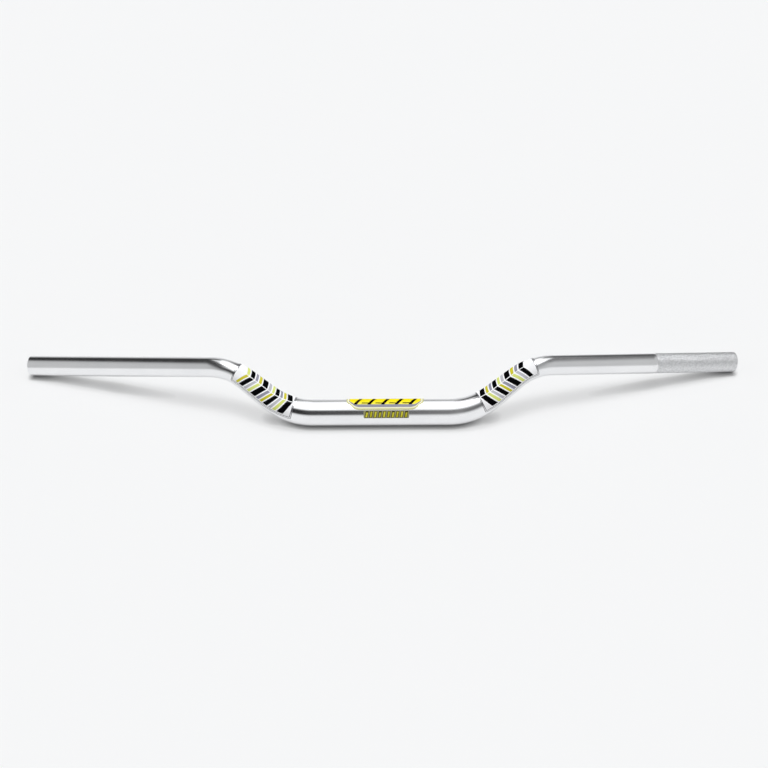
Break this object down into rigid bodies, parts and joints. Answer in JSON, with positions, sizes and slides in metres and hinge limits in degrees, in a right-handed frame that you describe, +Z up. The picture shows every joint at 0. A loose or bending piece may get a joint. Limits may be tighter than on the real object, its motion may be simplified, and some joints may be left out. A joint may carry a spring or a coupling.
{
  "type": "motorcycle handlebar",
  "caption": "Bent, tapered, hollow aluminium motorcycle handlebar with one knurled grip end and vinyl graphics on its rises and clamp zone.",
  "frame": {"origin": "centre of the clamp zone, on the tube's axis", "axes": "+X along the clamp zone towards the knurled grip (the rider's left), +Y towards the rider, +Z up, with the bar lying on its clamp zone and on both tips"},
  "size_m": [0.7827, 0.1132, 0.0574],
  "materials": {
    "bar_aluminium": "fine longitudinal polish, clear anodised, satin to bright",
    "wrap_vinyl": "printed vinyl under a clear gloss laminate",
    "emblem_vinyl": "printed vinyl, gloss",
    "stripe_vinyl": "printed vinyl, gloss"
  },
  "bodies": {
    "root": {"bar_tube": "bar_aluminium", "wrap_decal_knurl_side": "wrap_vinyl", "wrap_decal_throttle_side": "wrap_vinyl", "centre_emblem_decal": "emblem_vinyl", "centre_stripe_decal": "stripe_vinyl"}
  },
  "joints": []
}
